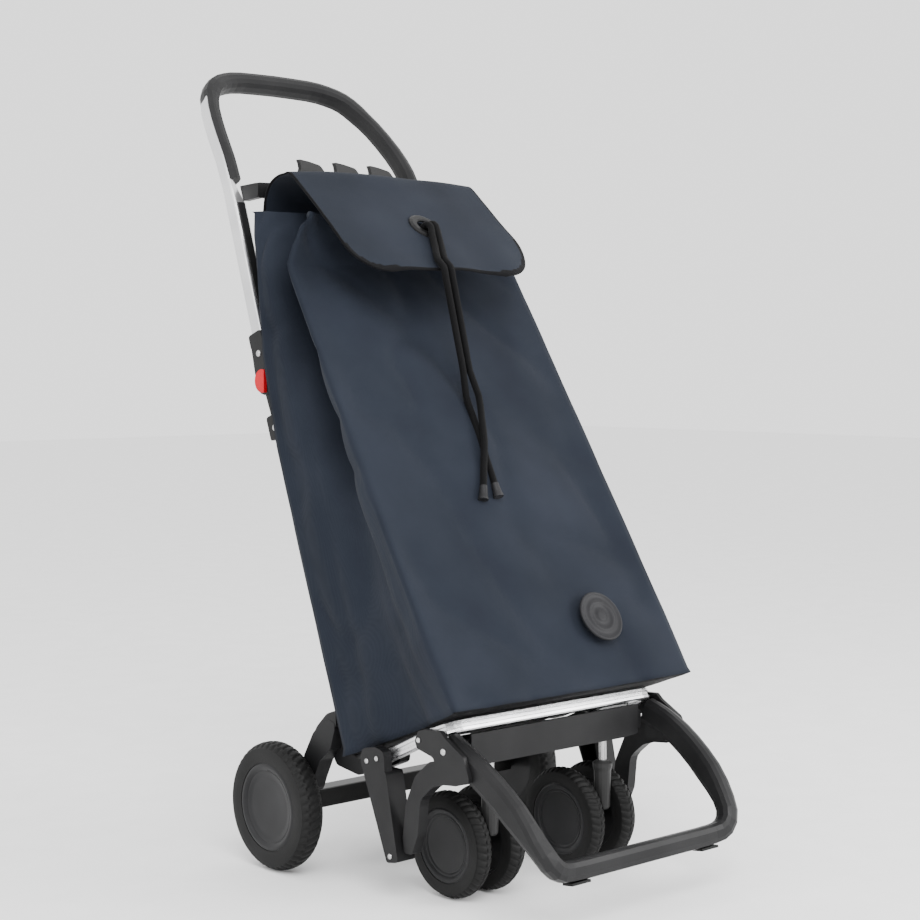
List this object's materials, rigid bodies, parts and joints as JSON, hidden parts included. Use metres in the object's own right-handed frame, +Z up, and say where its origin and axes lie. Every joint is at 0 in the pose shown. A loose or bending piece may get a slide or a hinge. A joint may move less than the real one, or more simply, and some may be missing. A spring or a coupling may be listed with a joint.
{
  "type": "folding shopping trolley",
  "caption": "Folding shopping trolley: leaning aluminium rails with a fold-down loop handle, flapped fabric bag, folding base with foot bar, large rear wheels and twin casters.",
  "frame": {"origin": "on the floor, under the middle of the footprint", "axes": "+Z up, -Y the front with the foot bar, X along the rear axle"},
  "size_m": [0.4494, 0.7549, 1.0649],
  "materials": {
    "bag_body": "coated woven nylon",
    "bag_flap": "coated woven nylon",
    "base_bar": "satin anodised",
    "base_pin_left": "bright zinc",
    "base_pin_right": "bright zinc",
    "caster_axle_left": "bright zinc",
    "caster_axle_right": "bright zinc",
    "caster_carrier": "fine texture",
    "caster_fork_left": "fine texture",
    "caster_fork_right": "fine texture",
    "caster_left_inner_hub": "fine texture",
    "caster_left_inner_tyre": "moulded tread",
    "caster_left_outer_hub": "fine texture",
    "caster_left_outer_tyre": "moulded tread",
    "caster_right_inner_hub": "fine texture",
    "caster_right_inner_tyre": "moulded tread",
    "caster_right_outer_hub": "fine texture",
    "caster_right_outer_tyre": "moulded tread",
    "caster_stem_left": "bright zinc",
    "caster_stem_right": "bright zinc",
    "cord_end_left": "fine texture",
    "cord_end_right": "fine texture",
    "cord_left": "braided",
    "cord_right": "braided",
    "eyelet_ring": "fine texture",
    "flap_root": "coated woven nylon",
    "foot_pad_left": "matt",
    "foot_pad_right": "matt",
    "front_panel": "fine texture",
    "front_patch": "matt moulded",
    "front_stand": "fine texture",
    "handle_frame": "satin anodised",
    "handle_grip": "fine texture",
    "hinge_pin_left": "bright zinc",
    "hinge_pin_right": "bright zinc",
    "hook_board": "fine texture",
    "lower_hinge_left": "fine texture",
    "lower_hinge_right": "fine texture",
    "lower_rail_left": "satin anodised",
    "lower_rail_right": "satin anodised",
    "rail_strip_left": "fine texture",
    "rail_strip_right": "fine texture",
    "rear_arm_left": "fine texture",
    "rear_arm_right": "fine texture",
    "rear_axle_beam": "black powder coat",
    "rear_axle_pin_left": "bright zinc",
    "rear_axle_pin_right": "bright zinc",
    "rear_leg_left": "fine texture",
    "rear_leg_right": "fine texture",
    "rear_wheel_left_hub": "fine texture",
    "rear_wheel_left_tyre": "moulded tread",
    "rear_wheel_right_hub": "fine texture",
    "rear_wheel_right_tyre": "moulded tread",
    "release_button_left": "glossy",
    "release_button_right": "glossy",
    "stand_pin_left": "bright zinc",
    "stand_pin_right": "bright zinc",
    "upper_hinge_left": "fine texture",
    "upper_hinge_right": "fine texture"
  },
  "bodies": {
    "rear_wheel_left": {"rear_wheel_left_hub": "rear_wheel_left_hub", "rear_wheel_left_tyre": "rear_wheel_left_tyre"},
    "rear_wheel_right": {"rear_wheel_right_hub": "rear_wheel_right_hub", "rear_wheel_right_tyre": "rear_wheel_right_tyre"},
    "caster_left_outer_wheel": {"caster_left_outer_hub": "caster_left_outer_hub", "caster_left_outer_tyre": "caster_left_outer_tyre"},
    "caster_left_inner_wheel": {"caster_left_inner_hub": "caster_left_inner_hub", "caster_left_inner_tyre": "caster_left_inner_tyre"},
    "caster_left": {"caster_axle_left": "caster_axle_left", "caster_fork_left": "caster_fork_left", "caster_stem_left": "caster_stem_left"},
    "caster_right_outer_wheel": {"caster_right_outer_hub": "caster_right_outer_hub", "caster_right_outer_tyre": "caster_right_outer_tyre"},
    "caster_right_inner_wheel": {"caster_right_inner_hub": "caster_right_inner_hub", "caster_right_inner_tyre": "caster_right_inner_tyre"},
    "caster_right": {"caster_axle_right": "caster_axle_right", "caster_fork_right": "caster_fork_right", "caster_stem_right": "caster_stem_right"},
    "base": {"base_bar": "base_bar", "caster_carrier": "caster_carrier", "foot_pad_left": "foot_pad_left", "foot_pad_right": "foot_pad_right", "front_panel": "front_panel", "front_stand": "front_stand", "stand_pin_left": "stand_pin_left", "stand_pin_right": "stand_pin_right"},
    "button_left": {"release_button_left": "release_button_left"},
    "button_right": {"release_button_right": "release_button_right"},
    "handle": {"handle_frame": "handle_frame", "handle_grip": "handle_grip", "hinge_pin_left": "hinge_pin_left", "hinge_pin_right": "hinge_pin_right", "hook_board": "hook_board", "rail_strip_left": "rail_strip_left", "rail_strip_right": "rail_strip_right", "upper_hinge_left": "upper_hinge_left", "upper_hinge_right": "upper_hinge_right"},
    "flap": {"bag_flap": "bag_flap", "cord_end_left": "cord_end_left", "cord_end_right": "cord_end_right", "cord_left": "cord_left", "cord_right": "cord_right", "eyelet_ring": "eyelet_ring"},
    "frame": {"bag_body": "bag_body", "base_pin_left": "base_pin_left", "base_pin_right": "base_pin_right", "flap_root": "flap_root", "front_patch": "front_patch", "lower_hinge_left": "lower_hinge_left", "lower_hinge_right": "lower_hinge_right", "lower_rail_left": "lower_rail_left", "lower_rail_right": "lower_rail_right", "rear_arm_left": "rear_arm_left", "rear_arm_right": "rear_arm_right", "rear_axle_beam": "rear_axle_beam", "rear_axle_pin_left": "rear_axle_pin_left", "rear_axle_pin_right": "rear_axle_pin_right", "rear_leg_left": "rear_leg_left", "rear_leg_right": "rear_leg_right"}
  },
  "joints": [
    {"name": "rear_wheel_left_spin", "type": "hinge", "parent": "frame", "child": "rear_wheel_left", "pos_m": [-0.2077, 0.0796, 0.0825], "axis": [1, 0, 0], "continuous": true},
    {"name": "rear_wheel_right_spin", "type": "hinge", "parent": "frame", "child": "rear_wheel_right", "pos_m": [0.2077, 0.0796, 0.0825], "axis": [1, 0, 0], "continuous": true},
    {"name": "base_fold", "type": "hinge", "parent": "frame", "child": "base", "pos_m": [0, -0.1094, 0.172], "axis": [-1, 0, 0], "range_deg": [0, 85], "deforming": ["bag_body", "front_patch"]},
    {"name": "caster_left_swivel", "type": "hinge", "parent": "base", "child": "caster_left", "pos_m": [-0.098, -0.2054, 0.12], "axis": [0, 0, 1], "range_deg": [-18, 18]},
    {"name": "caster_left_outer_spin", "type": "hinge", "parent": "caster_left", "child": "caster_left_outer_wheel", "pos_m": [-0.1255, -0.1654, 0.0656], "axis": [1, 0, 0], "continuous": true},
    {"name": "caster_left_inner_spin", "type": "hinge", "parent": "caster_left", "child": "caster_left_inner_wheel", "pos_m": [-0.0705, -0.1654, 0.0656], "axis": [1, 0, 0], "continuous": true},
    {"name": "caster_right_swivel", "type": "hinge", "parent": "base", "child": "caster_right", "pos_m": [0.098, -0.2054, 0.12], "axis": [0, 0, 1], "range_deg": [-18, 18]},
    {"name": "caster_right_outer_spin", "type": "hinge", "parent": "caster_right", "child": "caster_right_outer_wheel", "pos_m": [0.1255, -0.1654, 0.0656], "axis": [1, 0, 0], "continuous": true},
    {"name": "caster_right_inner_spin", "type": "hinge", "parent": "caster_right", "child": "caster_right_inner_wheel", "pos_m": [0.0705, -0.1654, 0.0656], "axis": [1, 0, 0], "continuous": true},
    {"name": "handle_fold", "type": "hinge", "parent": "frame", "child": "handle", "pos_m": [0, 0.1456, 0.627], "axis": [1, 0, 0], "range_deg": [-145, 0]},
    {"name": "release_button_left_press", "type": "slide", "parent": "handle", "child": "button_left", "axis": [1, 0, 0], "range_m": [0, 0.003], "stiffness_N_per_m": 800},
    {"name": "release_button_right_press", "type": "slide", "parent": "handle", "child": "button_right", "axis": [-1, 0, 0], "range_m": [0, 0.003], "stiffness_N_per_m": 800},
    {"name": "flap_lift", "type": "hinge", "parent": "frame", "child": "flap", "pos_m": [0, 0.1166, 0.9005], "axis": [-1, 0, 0], "range_deg": [0, 130]}
  ]
}
